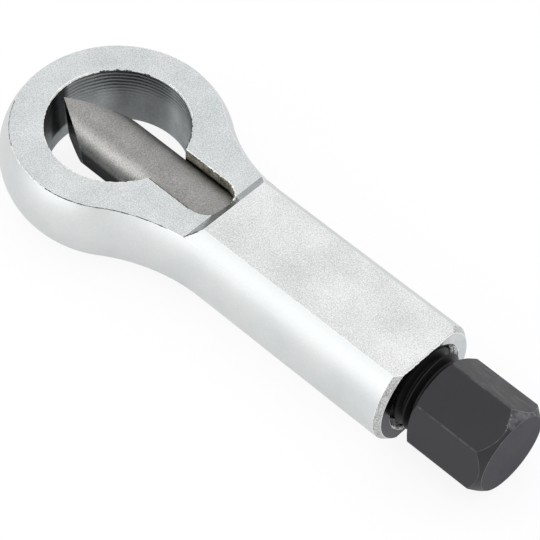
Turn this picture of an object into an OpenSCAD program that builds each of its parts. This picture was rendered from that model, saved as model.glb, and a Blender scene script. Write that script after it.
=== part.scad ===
// Screw-driven nut splitter: a forged ring and handle, a round chisel-ended
// cutter that slides in the handle, and a hexagon-headed forcing screw behind it.
// The origin is the centre of the ring opening. Z is the axis of the nut in the
// ring, and X runs from the ring along the handle to the head of the screw.

/* [Ring] */
// Diameter of the opening that takes the nut
opening_d = 28; // [22:0.5:32]
// Diameter of the ring at half its thickness, where it is widest
ring_d = 45.2; // [40:0.2:52]
// Thickness of the ring between its machined faces
ring_t = 14; // [13.5:0.5:17]
// Radius of the hollow neck on each side, at half thickness
neck_r = 34; // [22:1:60]

/* [Handle] */
// Diameter of the round handle
handle_d = 24.8; // [22:0.2:30]
// Thickness of the handle across its two flats
handle_flat = 19; // [18:0.2:21]
// Distance from the ring centre to the end of the handle
handle_end = 78; // [68:1:100]
// Distance from the ring centre to the foot of the step up to the flat
step_x = 27.7; // [25:0.1:31]
// Slope of the step between the ring face and the flat, in degrees
step_slope = 43; // [25:1:75]
// Radial size of the chamfer round the end of the handle
end_chamfer = 0.9; // [0.2:0.1:1.5]
// Length of that chamfer along the handle
end_chamfer_l = 1.2; // [0.3:0.1:3]
// Diameter of the countersunk mouth of the screw hole
mouth_d = 18.4; // [16.6:0.2:18.8]

/* [Slot] */
// Width of the milled slot that opens the neck above the cutter
slot_w = 9.7; // [6:0.1:11.5]
// Distance from the ring centre to the round end of the slot
slot_end = 28.7; // [22:0.1:32]

/* [Cutter] */
// Diameter of the cutter rod
cutter_d = 12.5; // [11:0.1:13]
// Length of the cutter from its edge to its tail
cutter_l = 51.8; // [48:0.1:56]
// Included angle of the two ground bevels, in degrees
edge_angle = 56; // [40:1:80]
// How far the edge lies to one side of the rod's axis
edge_offset = -1.2; // [-1.5:0.1:1.5]
// Turn of the edge out of line with the ring axis, in degrees
edge_roll = 5; // [-10:1:10]
// Gap between the edge and the far wall of the opening, as drawn
edge_gap = 1.1; // [0.6:0.1:6]
// Distance that the cutter draws back from where it is drawn
draw_back = 27; // [15:1:27]
// Distance that the cutter can still advance
advance = 0.4; // [0.1:0.1:0.5]

/* [Screw] */
// Outside diameter of the screw thread
screw_d = 16; // [15:0.1:16.5]
// Size of the hexagon across its flats
hex_af = 17; // [16.6:0.1:19]
// Height of the hexagon head
hex_h = 16.8; // [8:0.1:20]
// Gap between the handle and the head, as drawn
head_gap = 3.7; // [1.5:0.1:12]
// Turn of the hexagon about the screw axis, as drawn, in degrees
hex_turn = 22; // [0:1:60]
// Radial size of the chamfer on the hexagon's corners, under the head
hex_chamfer = 1.2; // [0.4:0.1:1.2]
// Slope of that chamfer, in degrees
hex_slope = 30; // [20:1:45]
// Radial size of the longer chamfer on the outer end
crown_chamfer = 1.7; // [1.5:0.1:2.5]
// Slope of that chamfer, in degrees
crown_slope = 52; // [20:1:60]

/* [Coupling] */
// Diameter of the screw's spigot in the tail of the cutter
spigot_d = 6.4; // [5:0.1:7]
// Length of the spigot
spigot_l = 9.5; // [7:0.5:13]
// Diameter of the thrust ball in front of the spigot
ball_d = 6; // [4:0.1:6.2]
// Diameter of each retaining pin
pin_d = 2.5; // [1.5:0.1:3]
// Depth of the groove that the retaining pins run in
groove_depth = 1; // [0.6:0.1:1.5]
// Distance from the tail of the cutter to the retaining pins
pin_setback = 5; // [3:0.1:5.5]

/* [Guide] */
// Diameter of the guide pin under the handle
guide_d = 3; // [2:0.1:3.4]
// Distance from the screw hole's inner end to the guide pin
guide_setback = 3.5; // [2.2:0.1:4]
// Depth of the keyway in the cutter
key_depth = 1.4; // [0.8:0.1:1.5]

/* [Clearances] */
// Radial running clearance of the cutter in its bore
cutter_play = 0.05; // [0.02:0.01:0.1]
// Radial running clearance of the screw in its hole
screw_play = 0.05; // [0.02:0.01:0.1]
// Radial running clearance of the spigot in the cutter
spigot_play = 0.05; // [0.02:0.01:0.1]
// Gap on each side of the thrust ball and round the retaining pins
seat_gap = 0.05; // [0.02:0.01:0.1]
// Radial clearance of the pins in the holes that hold them
pin_fit = 0.01; // [0.005:0.005:0.02]
// Gap between the guide pin and the keyway
key_gap = 0.3; // [0.1:0.05:0.4]
// Gap between the cutter's tail and the screw's shoulder
tail_gap = 0.5; // [0.3:0.1:1]

/* [Hidden] */
$fn = 96;

// Overrun of each cut past the face that it opens
over = 1;
// Depth to which the neck's sides run into those of the ring and the handle
blend = 0.03;

opening_r = opening_d / 2;
face_z = ring_t / 2;
flat_z = handle_flat / 2;

// The ring, the neck and the handle share one round side of the handle's radius
side_r = handle_d / 2;
ring_side_x = ring_d / 2 - side_r;
neck_y = side_r + neck_r - blend;
neck_x = sqrt(pow(ring_d / 2 + neck_r - blend, 2) - pow(neck_y, 2));
core_r = opening_r / 2;
step_top = step_x + (flat_z - face_z) / tan(step_slope);

// Cutter, from its edge to its tail
cutter_r = cutter_d / 2;
bore_r = cutter_r + cutter_play;
edge_x = edge_gap - opening_r;
tail_x = edge_x + cutter_l;
tail_chamfer = 0.5;

// The screw hole starts where the shoulder stops when the cutter is full forward
shoulder_x = tail_x + tail_gap;
hole_x = shoulder_x - advance - tail_gap;
hole_r = screw_d / 2 + screw_play;
head_x = handle_end + head_gap;
hex_r = hex_af / 2 / cos(30);
nose_chamfer = 1;

// Spigot, ball and drilled socket in the tail of the cutter
spigot_r = spigot_d / 2;
spigot_x = shoulder_x - spigot_l;
socket_r = spigot_r + spigot_play;
ball_r = ball_d / 2;
ball_x = spigot_x - seat_gap - ball_r;
drill_half = 59;
drill_tip_x = ball_x - (ball_r + seat_gap) / sin(drill_half);
drill_h = socket_r / tan(drill_half);

// Retaining pins, side by side across the spigot's groove
pin_r = pin_d / 2;
groove_r = spigot_r - groove_depth;
pin_x = tail_x - pin_setback;
pin_y = groove_r + seat_gap + pin_r;
pin_edge = 0.1;
pin_half = sqrt(pow(cutter_r, 2) - pow(pin_y + pin_r, 2)) - pin_edge;

// Guide pin and the closed keyway whose ends allow the whole travel
guide_r = guide_d / 2;
guide_x = hole_x - guide_setback;
key_r = guide_r + key_gap;
key_floor_z = cutter_r - key_depth;
key_front_x = guide_x - draw_back - key_gap;
key_back_x = guide_x + advance + key_gap;

// Turns a shape that stands on Z so that it lies along X
module along_x() {
    rotate([90, 0, 90]) children();
}

// Revolved ring with the round side
module ring_blank() {
    rotate_extrude() intersection() {
        translate([core_r, -face_z]) square([ring_d, ring_t]);
        union() {
            translate([0, -face_z]) square([ring_side_x, ring_t]);
            translate([ring_side_x, 0]) circle(side_r);
        }
    }
}

// Hollow that shapes one side of the neck, revolved about its own centre
module neck_hollow() {
    rotate_extrude() difference() {
        translate([0, -face_z - over]) square([neck_r + side_r, ring_t + 2 * over]);
        translate([neck_r + side_r, 0]) circle(side_r);
    }
}

// Web between ring and handle, with a hollow on each side that runs into both
module neck_blank() {
    start = [neck_x, neck_y] * (1 - neck_r / 2 / norm([neck_x, neck_y]));
    end_y = neck_y - neck_r / 2;
    difference() {
        linear_extrude(height = ring_t, center = true)
            polygon([[0, 0], start, [neck_x, end_y], [neck_x, -end_y], [start.x, -start.y]]);
        for (side = [-1, 1]) translate([neck_x, side * neck_y, 0]) neck_hollow();
    }
}

// Side view of the handle with the ramps up to its flats, as a wide prism
module flats_prism() {
    half = [[0, face_z], [step_x, face_z], [step_top, flat_z], [handle_end + over, flat_z]];
    mirrored = [for (i = [len(half) - 1:-1:0]) [half[i].x, -half[i].y]];
    rotate([90, 0, 0]) linear_extrude(height = 2 * handle_d, center = true)
        polygon(concat(half, mirrored));
}

// Round bar of the handle from one place along X to its chamfered end
module handle_bar(from_x) {
    along_x() rotate_extrude() polygon([
        [0, from_x], [side_r, from_x], [side_r, handle_end - end_chamfer_l],
        [side_r - end_chamfer, handle_end], [0, handle_end]]);
}

// Handle with its flats, from inside the ring to its end
module handle_blank() {
    intersection() {
        handle_bar(core_r);
        flats_prism();
    }
}

// Slot through the neck with a round end, open to the ring
module slot_cut() {
    slot_x = slot_end - slot_w / 2;
    linear_extrude(height = handle_d + over, center = true) {
        translate([0, -slot_w / 2]) square([slot_x, slot_w]);
        translate([slot_x, 0]) circle(d = slot_w);
    }
}

// Cutter bore, screw hole and its countersunk mouth, along the handle
module bores_cut() {
    mouth_r = mouth_d / 2;
    mouth_x = handle_end - (mouth_r - hole_r);
    along_x() {
        cylinder(r = bore_r, h = hole_x + over);
        translate([0, 0, hole_x]) cylinder(r = hole_r, h = handle_end - hole_x + over);
        translate([0, 0, mouth_x])
            cylinder(r1 = hole_r, r2 = mouth_r + over, h = mouth_r - hole_r + over);
    }
}

// Hole for the guide pin, from the lower flat into the cutter bore
module guide_hole() {
    translate([guide_x, 0, -flat_z - over]) cylinder(r = guide_r + pin_fit, h = flat_z + over);
}

module frame() {
    color([0.83, 0.85, 0.85]) difference() {
        union() {
            ring_blank();
            neck_blank();
            handle_blank();
        }
        cylinder(r = opening_r, h = ring_t + 2 * over, center = true);
        slot_cut();
        bores_cut();
        guide_hole();
    }
}

// Rod of the cutter with a chamfered tail
module cutter_rod() {
    along_x() rotate_extrude() polygon([
        [0, edge_x - over], [cutter_r, edge_x - over], [cutter_r, tail_x - tail_chamfer],
        [cutter_r - tail_chamfer, tail_x], [0, tail_x]]);
}

// Wedge that leaves the two ground bevels and the edge on the rod
module bevel_wedge() {
    wedge_l = cutter_l + over;
    wedge_y = wedge_l * tan(edge_angle / 2);
    rotate([edge_roll, 0, 0]) translate([edge_x, edge_offset, 0])
        linear_extrude(height = 2 * cutter_d, center = true)
            polygon([[0, 0], [wedge_l, -wedge_y], [wedge_l, wedge_y]]);
}

// Drilled socket for the spigot and the ball
module socket_cut() {
    along_x() {
        translate([0, 0, drill_tip_x]) cylinder(r1 = 0, r2 = socket_r, h = drill_h);
        translate([0, 0, drill_tip_x + drill_h])
            cylinder(r = socket_r, h = tail_x - drill_tip_x - drill_h + over);
    }
}

// Closed keyway along the underside of the cutter
module keyway_cut() {
    translate([0, 0, -cutter_r - over]) linear_extrude(height = key_depth + over) {
        for (x = [key_front_x, key_back_x]) translate([x, 0]) circle(key_r);
        translate([key_front_x, -key_r]) square([key_back_x - key_front_x, 2 * key_r]);
    }
}

// Place of one retaining pin, on the side given by 1 or -1
module at_pin(side) {
    translate([pin_x, side * pin_y, 0]) children();
}

module cutter() {
    color([0.58, 0.58, 0.58]) difference() {
        intersection() {
            cutter_rod();
            bevel_wedge();
        }
        socket_cut();
        keyway_cut();
        for (side = [-1, 1]) at_pin(side)
            cylinder(r = pin_r + pin_fit, h = 2 * cutter_d, center = true);
    }
}

// Hexagon with chamfered corners at both ends
module hex_head() {
    head_end = head_x + hex_h;
    outer_r = hex_r + over;
    intersection() {
        translate([head_x, 0, 0]) along_x() rotate(hex_turn) cylinder(r = hex_r, h = hex_h, $fn = 6);
        along_x() rotate_extrude() polygon([
            [0, head_x], [hex_r - hex_chamfer, head_x],
            [outer_r, head_x + (hex_chamfer + over) * tan(hex_slope)],
            [outer_r, head_end - (crown_chamfer + over) * tan(crown_slope)],
            [hex_r - crown_chamfer, head_end], [0, head_end]]);
    }
}

// Turned shank with its grooved spigot
module screw_shank() {
    shank_r = screw_d / 2;
    groove_front = pin_x - pin_r - seat_gap;
    groove_back = pin_x + pin_r + seat_gap;
    along_x() rotate_extrude() polygon([
        [0, spigot_x], [spigot_r, spigot_x], [spigot_r, groove_front], [groove_r, groove_front],
        [groove_r, groove_back], [spigot_r, groove_back], [spigot_r, shoulder_x],
        [shank_r - nose_chamfer, shoulder_x], [shank_r, shoulder_x + nose_chamfer],
        [shank_r, head_x], [0, head_x]]);
}

module forcing_screw() {
    color([0.26, 0.26, 0.27]) {
        screw_shank();
        hex_head();
    }
}

module thrust_ball() {
    color([0.75, 0.75, 0.76]) translate([ball_x, 0, 0]) sphere(ball_r);
}

// Plain pin pressed across the tail of the cutter
module retaining_pin(side) {
    color([0.5, 0.5, 0.5]) at_pin(side) cylinder(r = pin_r, h = 2 * pin_half, center = true);
}

module left_retaining_pin() {
    retaining_pin(1);
}

module right_retaining_pin() {
    retaining_pin(-1);
}

// Plain pin pressed up from the lower flat, with its tip in the keyway
module guide_pin() {
    pin_top = -key_floor_z - key_gap;
    color([0.5, 0.5, 0.5]) translate([guide_x, 0, -flat_z]) cylinder(r = guide_r, h = flat_z + pin_top);
}

frame();
cutter();
forcing_screw();
thrust_ball();
left_retaining_pin();
right_retaining_pin();
guide_pin();
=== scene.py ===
"""Dressed model of a screw-driven nut splitter: forged frame, ground cutter and blackened screw."""

import logging
import math
from dataclasses import dataclass, replace
from enum import Enum
from typing import Any, Callable, Mapping, Sequence

import bmesh
import bpy
from mathutils import Matrix, Vector, noise


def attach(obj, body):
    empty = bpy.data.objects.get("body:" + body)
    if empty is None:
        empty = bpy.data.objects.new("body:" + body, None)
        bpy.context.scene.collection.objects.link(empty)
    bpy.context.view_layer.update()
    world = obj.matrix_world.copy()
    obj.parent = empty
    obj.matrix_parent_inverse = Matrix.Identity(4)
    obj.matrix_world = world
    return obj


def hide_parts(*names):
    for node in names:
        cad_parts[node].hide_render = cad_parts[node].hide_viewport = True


LOG = logging.getLogger("nut_splitter")
MM = 0.001
# Values of the noise between which tone and gloss change
TONE_SPAN = (0.36, 0.64)
GLOSS_SPAN = (0.3, 0.7)
# Mirror strength of dry black oxide
OXIDE_SHEEN = 0.32
# Copied meshes: points this near are one point, and a thinner triangle is turned
WELD_MM = 0.002
THIN_MM = 0.02
# Built meshes: points this near are one point, and shorter edges collapse
POINT_MM = 0.0005
SLIVER_MM = 0.0002
# Sharpest angles in degrees that are still shaded smooth
SOLID_SMOOTH = 25.0
THREAD_SMOOTH = 30.0
HEAD_SMOOTH = 16.0
# Steps of a whole turn on round pieces
ROUND_STEPS = 72
# Unevenness of an edge line: waves to a millimetre and their share, its sway, and its thinnest radius
SLOW_WAVES = 0.9
SLOW_SHARE = 0.6
QUICK_WAVES = 3.1
QUICK_SHARE = 0.5
SWAY_WAVES = 2.3
SWAY_SHARE = 0.5
THINNEST_MM = 0.008

Tree = bpy.types.NodeTree
Socket = bpy.types.NodeSocket
Station = Callable[[float], tuple[float, float]]

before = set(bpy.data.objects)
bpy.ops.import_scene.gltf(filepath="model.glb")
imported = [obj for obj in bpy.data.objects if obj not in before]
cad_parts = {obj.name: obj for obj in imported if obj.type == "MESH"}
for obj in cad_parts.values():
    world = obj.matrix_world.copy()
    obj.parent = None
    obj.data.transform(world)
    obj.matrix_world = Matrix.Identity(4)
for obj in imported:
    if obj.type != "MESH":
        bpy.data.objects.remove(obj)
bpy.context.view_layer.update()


class Body(Enum):
    """Rigid bodies that pieces ride on."""

    FRAME = "frame"
    CUTTER = "cutter"
    SCREW = "forcing_screw"


class Slot(Enum):
    """Finish slots of the record."""

    FRAME = "frame"
    CUTTER = "cutter"
    SCREW = "screw"


class Zone(Enum):
    """Differently made surfaces of the frame, in the order of its finishes."""

    FORGED = 0
    RING_FACE = 1
    HANDLE_FLAT = 2
    RAMP = 3
    TURNED = 4
    SAWN = 5
    BORED = 6
    END_FACE = 7
    END_CHAMFER = 8
    EDGE = 9


class CutterZone(Enum):
    """Surfaces of the cutter, in the order of its finishes."""

    ROUND = 0
    BEVEL = 1
    EDGE = 2


class HeadBand(Enum):
    """Bands of the hexagon head, from its underside to its end face."""

    UNDERSIDE = 0
    UNDER_CHAMFER = 1
    UNDER_EDGE = 2
    FLATS = 3
    SCUFF = 4
    CROWN_EDGE = 5
    CROWN = 6
    END_EDGE = 7
    END_FACE = 8


# Knocked stretches of the head's bands: the middle, in flats from the worn one, and half the length
KNOCKED_PARTS = {HeadBand.SCUFF: (1.05, 0.26), HeadBand.CROWN_EDGE: (0.8, 0.65),
                 HeadBand.CROWN: (0.85, 0.45), HeadBand.END_EDGE: (2.0, 0.7)}


class HeadWear(Enum):
    """States of the black oxide on the head, in the order of its finishes."""

    SOUND = 0
    EDGE = 1
    SPANNER = 2
    KNOCKED = 3
    FACED = 4
    CROWN = 5


def linear(code: str) -> tuple[float, float, float, float]:
    """Turns an sRGB hex colour into linear red, green, blue and alpha.

    Args:
        code: Six hex digits after a hash sign.

    Returns:
        The linear colour with full alpha.
    """
    values = [int(code[i:i + 2], 16) / 255 for i in (1, 3, 5)]
    red, green, blue = (v / 12.92 if v <= 0.04045 else ((v + 0.055) / 1.055) ** 2.4 for v in values)
    return red, green, blue, 1.0


def grey(level: float) -> tuple[float, float, float, float]:
    """Gives a linear grey of this level with full alpha."""
    return level, level, level, 1.0


def per_metre(size_mm: float) -> float:
    """Gives a texture scale whose features are about this many millimetres wide."""
    return 1 / (size_mm * MM)


def add_node(tree: Tree, kind: str, settings: Mapping[Any, Any] | None = None,
             links: Mapping[Any, Socket] | None = None) -> bpy.types.Node:
    """Adds one node with its settings and its links.

    Args:
        tree: Node tree that gets the node.
        kind: Blender's name of the node type.
        settings: Values by property name, or by socket name or number.
        links: Output sockets to join, by the name or number of the input.

    Returns:
        The new node.
    """
    node = tree.nodes.new(kind)
    for key, value in (settings or {}).items():
        if isinstance(key, str) and key not in node.inputs and hasattr(node, key):
            setattr(node, key, value)
        else:
            node.inputs[key].default_value = value
    for key, socket in (links or {}).items():
        tree.links.new(socket, node.inputs[key])
    return node


@dataclass(frozen=True)
class Look:
    """Node tree of a material, with the place on the piece and the colour and relief so far."""

    tree: Tree
    place: Socket
    colour: Socket
    normal: Socket


def near_side(look: Look, toward: tuple[float, float, float], start_mm: float, full_mm: float) -> Socket:
    """Tells how far a place lies to one side.

    Args:
        look: Look that the share is for.
        toward: Direction of the side, of length 1.
        start_mm: Distance that way at which the share starts.
        full_mm: Distance that way at which it is full.

    Returns:
        The share, from 0 to 1.
    """
    side = add_node(look.tree, "ShaderNodeVectorMath", {"operation": "DOT_PRODUCT", 1: toward},
                    {0: look.place})
    share = add_node(look.tree, "ShaderNodeMapRange",
                     {"interpolation_type": "SMOOTHSTEP", "From Min": start_mm * MM,
                      "From Max": full_mm * MM}, {"Value": side.outputs["Value"]})
    return share.outputs["Result"]


@dataclass(frozen=True)
class MetalFinish:
    """Metal surface with a mottled tone, an uneven gloss and a fine grain.

    Patches and grain are mixed into one pattern, in which speck is the grain's share. The tone runs
    between two colours with it, and the gloss between two roughness values. Specular is the mirror
    strength of a coat that is not metal. The edge tint colours what a metal mirrors at a flat angle.
    """

    name: str
    light: str
    dark: str
    rough: tuple[float, float]
    patch_mm: float
    grain_mm: float
    depth_mm: float
    speck: float = 0.4
    metallic: float = 1.0
    specular: float = 0.5
    edge_tint: str = "#ffffff"

    def dress(self, look: Look) -> Look:
        """Lets a special finish change the colour and the relief."""
        return look

    def build(self) -> bpy.types.Material:
        """Makes the material.

        Returns:
            The finished material.
        """
        material = bpy.data.materials.new(self.name)
        material.use_nodes = True
        tree = material.node_tree
        tree.nodes.clear()
        place = add_node(tree, "ShaderNodeTexCoord").outputs["Object"]
        patches = add_node(tree, "ShaderNodeTexNoise",
                           {"Scale": per_metre(self.patch_mm), "Detail": 4.0}, {"Vector": place})
        grain = add_node(tree, "ShaderNodeTexNoise",
                         {"Scale": per_metre(self.grain_mm), "Detail": 2.0}, {"Vector": place})
        mixed = add_node(tree, "ShaderNodeMix", {"data_type": "FLOAT", 0: self.speck},
                         {2: patches.outputs["Fac"], 3: grain.outputs["Fac"]}).outputs[0]
        ramp = add_node(tree, "ShaderNodeValToRGB", {}, {"Fac": mixed})
        for element, position, code in zip(ramp.color_ramp.elements, TONE_SPAN, (self.dark, self.light)):
            element.position = position
            element.color = linear(code)
        gloss = add_node(tree, "ShaderNodeMapRange",
                         {"From Min": GLOSS_SPAN[0], "From Max": GLOSS_SPAN[1],
                          "To Min": self.rough[0], "To Max": self.rough[1]}, {"Value": mixed})
        bump = add_node(tree, "ShaderNodeBump", {"Strength": 0.6, "Distance": self.depth_mm * MM},
                        {"Height": grain.outputs["Fac"]})
        look = self.dress(Look(tree, place, ramp.outputs["Color"], bump.outputs["Normal"]))
        shader = add_node(tree, "ShaderNodeBsdfPrincipled",
                          {"Metallic": self.metallic, "Specular IOR Level": self.specular,
                           "Specular Tint": linear(self.edge_tint)},
                          {"Base Color": look.colour, "Roughness": gloss.outputs["Result"],
                           "Normal": look.normal})
        add_node(tree, "ShaderNodeOutputMaterial", {}, {"Surface": shader.outputs["BSDF"]})
        return material


@dataclass(frozen=True)
class Shade:
    """Sector of a wall about Z with a painted reflection, darker or lighter than the rest, down to a height.

    The angle is that of its middle, from X towards Y. Start and full are cosines of the angle to it.
    """

    angle: float
    start: float
    full: float
    gain: float
    low_mm: float = -20.0


@dataclass(frozen=True)
class TurnedFinish(MetalFinish):
    """Metal with uneven rings from a turning tool, which lie one above the other along Z.

    The rings are deepest at the upper end and fade out towards the lower one. Its shades paint reflections into
    sectors of the wall, darker or lighter than the rest.
    """

    wall_r_mm: float = 14.0
    shades: tuple[Shade, ...] = (Shade(angle=118.0, start=0.848, full=0.978, gain=0.55),
                                 Shade(angle=190.0, start=0.97, full=0.9945, gain=0.15, low_mm=-3.8),
                                 Shade(angle=68.0, start=0.906, full=0.99, gain=1.25))
    shade_blur_mm: float = 0.5
    ring_mm: float = 0.9
    ring_depth_mm: float = 0.06
    ring_dark: float = 0.45
    ring_colour: str = "#202224"
    fade_low_mm: float = -1.5
    fade_high_mm: float = 4.0

    def dress(self, look: Look) -> Look:
        """Cuts dark rings and paints the reflections of the sectors.

        Args:
            look: Look so far.

        Returns:
            The look with rings and painted reflections.
        """
        tree, colour = look.tree, look.colour
        # At a scale of 1 the bands of a wave texture lie pi / 10 apart
        wave = add_node(tree, "ShaderNodeTexWave",
                        {"bands_direction": "Z", "Distortion": 3.6, "Detail": 3.0, "Detail Scale": 0.35,
                         "Scale": per_metre(self.ring_mm) * math.pi / 10}, {"Vector": look.place})
        high = add_node(tree, "ShaderNodeSeparateXYZ", {}, {0: look.place}).outputs["Z"]
        fade = add_node(tree, "ShaderNodeMapRange",
                        {"From Min": self.fade_low_mm * MM, "From Max": self.fade_high_mm * MM},
                        {"Value": high}).outputs["Result"]
        rings = add_node(tree, "ShaderNodeMath", {"operation": "MULTIPLY"},
                         {0: wave.outputs["Fac"], 1: fade}).outputs[0]
        share = add_node(tree, "ShaderNodeMapRange",
                         {"From Min": 0.45, "From Max": 0.95, "To Max": self.ring_dark},
                         {"Value": rings}).outputs["Result"]
        # Painted reflections: each shade darkens or lightens a sector of the wall's colour by its gain
        for shade in self.shades:
            turn = math.radians(shade.angle)
            near = near_side(look, (math.cos(turn), math.sin(turn), 0.0),
                             self.wall_r_mm * shade.start, self.wall_r_mm * shade.full)
            above = near_side(look, (0.0, 0.0, 1.0),
                              shade.low_mm - self.shade_blur_mm, shade.low_mm + self.shade_blur_mm)
            part = add_node(tree, "ShaderNodeMath", {"operation": "MULTIPLY"}, {0: near, 1: above})
            colour = add_node(tree, "ShaderNodeMix",
                              {"data_type": "RGBA", "blend_type": "MULTIPLY", 7: grey(shade.gain)},
                              {0: part.outputs[0], 6: colour}).outputs[2]
        darker = add_node(tree, "ShaderNodeMix", {"data_type": "RGBA", 7: linear(self.ring_colour)},
                          {0: share, 6: colour}).outputs[2]
        cut = add_node(tree, "ShaderNodeBump",
                       {"Strength": 0.8, "Distance": self.ring_depth_mm * MM, "invert": True},
                       {"Height": rings, "Normal": look.normal}).outputs["Normal"]
        return replace(look, colour=darker, normal=cut)


@dataclass(frozen=True)
class BandedFinish(MetalFinish):
    """Round metal along X with a painted highlight band and painted shade on its underside.

    Angles about X run from Y towards Z. The limits are cosines of the angle to a band's middle.
    """

    highlight_gain: float = 1.87
    highlight_angle: float = 156.0
    highlight_from: float = 0.74
    underside_shade: str = "#5e5f60"
    underside_shade_angle: float = 200.0
    underside_shade_from: float = 0.78
    underside_shade_to: float = 0.88
    radius_mm: float = 6.25

    def beside(self, look: Look, angle: float, start: float, full: float) -> Socket:
        """Tells how near a place lies to an angle about X.

        Args:
            look: Look that the nearness is for.
            angle: Angle in degrees.
            start: Cosine at which the nearness starts.
            full: Cosine at which it is full.

        Returns:
            The nearness, from 0 to 1.
        """
        turn = math.radians(angle)
        toward = (0.0, math.cos(turn), math.sin(turn))
        return near_side(look, toward, self.radius_mm * start, self.radius_mm * full)

    def dress(self, look: Look) -> Look:
        """Paints the highlight band and the shade on the underside.

        Args:
            look: Look so far.

        Returns:
            The look with its changed colour.
        """
        # Painted highlight along one band, and painted shade on the underside
        bright = self.beside(look, self.highlight_angle, self.highlight_from, 1.0)
        ground = add_node(look.tree, "ShaderNodeMix",
                          {"data_type": "RGBA", "blend_type": "MULTIPLY", 7: grey(self.highlight_gain)},
                          {0: bright, 6: look.colour}).outputs[2]
        under = self.beside(look, self.underside_shade_angle, self.underside_shade_from, self.underside_shade_to)
        shaded_under = add_node(look.tree, "ShaderNodeMix", {"data_type": "RGBA", 7: linear(self.underside_shade)},
                         {0: under, 6: ground}).outputs[2]
        return replace(look, colour=shaded_under)


@dataclass(frozen=True)
class RubbedFinish(MetalFinish):
    """Dark coat that is rubbed through in places, where the steel shows."""

    bare: str = "#8a8a8c"
    rub_mm: float = 1.0
    rub_from: float = 0.5
    rub_to: float = 0.7
    rub_stretch: tuple[float, float, float] = (1.0, 1.0, 1.0)

    def dress(self, look: Look) -> Look:
        """Shows the steel in the rubbed places.

        Args:
            look: Look so far.

        Returns:
            The look with its changed colour.
        """
        tree = look.tree
        drawn = add_node(tree, "ShaderNodeMapping", {"Scale": self.rub_stretch}, {"Vector": look.place})
        rubs = add_node(tree, "ShaderNodeTexNoise",
                        {"Scale": per_metre(self.rub_mm), "Detail": 5.0, "Roughness": 0.7},
                        {"Vector": drawn.outputs["Vector"]})
        bare = add_node(tree, "ShaderNodeMapRange", {"From Min": self.rub_from, "From Max": self.rub_to},
                        {"Value": rubs.outputs["Fac"]}).outputs["Result"]
        rubbed = add_node(tree, "ShaderNodeMix", {"data_type": "RGBA", 7: linear(self.bare)},
                          {0: bare, 6: look.colour}).outputs[2]
        return replace(look, colour=rubbed)


@dataclass(frozen=True)
class ShadedSideFinish(MetalFinish):
    """Cut metal with painted shade towards one side, between two distances that way."""

    shade_colour: str = "#191712"
    toward: tuple[float, float, float] = (0.0, 0.0, -1.0)
    unshaded_mm: float = -5.1
    shaded_mm: float = -4.4

    def dress(self, look: Look) -> Look:
        """Paints the shade on that side.

        Args:
            look: Look so far.

        Returns:
            The look with its changed colour.
        """
        # Painted shade towards one side
        share = near_side(look, self.toward, self.unshaded_mm, self.shaded_mm)
        side_shaded = add_node(look.tree, "ShaderNodeMix", {"data_type": "RGBA", 7: linear(self.shade_colour)},
                         {0: share, 6: look.colour}).outputs[2]
        return replace(look, colour=side_shaded)


# Satin chrome plate on the forging's round sides: smooth, pale and soft in its reflections
SATIN_CHROME_FORGED = MetalFinish(
    "satin_chrome_plated_forging", light="#d9dbdb", dark="#cfd2d2", rough=(0.4, 0.48),
    patch_mm=9.0, grain_mm=0.45, depth_mm=0.003)
# Satin chrome plate over a blasted ring face: pale grey with a fine sparkle. The grain is drawn coarser
# than the real grit, so that it shows
SATIN_CHROME_BLASTED = MetalFinish(
    "satin_chrome_blasted_face", light="#e6e8e8", dark="#b4babc", rough=(0.36, 0.5),
    patch_mm=7.0, grain_mm=0.22, depth_mm=0.04, speck=0.75)
# The same plate on the flats of the handle, which are milled finer and look whiter
SATIN_CHROME_FLAT = MetalFinish(
    "satin_chrome_milled_flat", light="#f0f0f0", dark="#c0c2c2", rough=(0.34, 0.46),
    patch_mm=9.0, grain_mm=0.22, depth_mm=0.036, speck=0.75)
# The step keeps its mill marks under the plate, so it mirrors the ring and the dark slot more clearly
MILLED_STEP = MetalFinish(
    "plated_milled_step", light="#cacdcf", dark="#acb0b2", rough=(0.2, 0.32),
    patch_mm=3.0, grain_mm=0.3, depth_mm=0.02, speck=0.6)
# Turned opening: uneven rings from the tool, with little plating and with painted reflections in darker sectors
# and one lighter sector
TURNED_OPENING = TurnedFinish(
    "turned_steel_opening", light="#b9bdbe", dark="#989c9e", rough=(0.3, 0.42),
    patch_mm=5.0, grain_mm=0.4, depth_mm=0.01, edge_tint="#b8b8b8")
# Rough cut slot: torn grey metal that hardly shines, with painted shadow down beside the cutter
SAWN_SLOT = ShadedSideFinish(
    "rough_sawn_steel_slot", light="#efede0", dark="#76746a", rough=(0.42, 0.6),
    patch_mm=1.4, grain_mm=0.3, depth_mm=0.12, speck=0.55)
# Bored and tapped holes: oiled cut steel
BORED_STEEL = MetalFinish(
    "bored_steel", light="#8f8f8c", dark="#66655f", rough=(0.35, 0.5),
    patch_mm=2.0, grain_mm=0.4, depth_mm=0.01)
# Faced end and countersink of the handle: plated over a fine cut, so that they mirror the table; a painted
# reflection of the head's dark underside and its shadow darkens the lower near side
FACED_END = ShadedSideFinish(
    "plated_faced_end", light="#d2d4d6", dark="#bec2c5", rough=(0.12, 0.2),
    patch_mm=3.0, grain_mm=0.3, depth_mm=0.006,
    shade_colour="#434448", toward=(0.0, -0.866, -0.5), unshaded_mm=2.0, shaded_mm=8.0)
# Chamfer round that end: plated over a rough file cut, with dark specks in the grain
FILED_CHAMFER = MetalFinish(
    "plated_filed_chamfer", light="#e0e2e1", dark="#8f908e", rough=(0.3, 0.42),
    patch_mm=2.0, grain_mm=0.24, depth_mm=0.05, speck=0.8)
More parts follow.
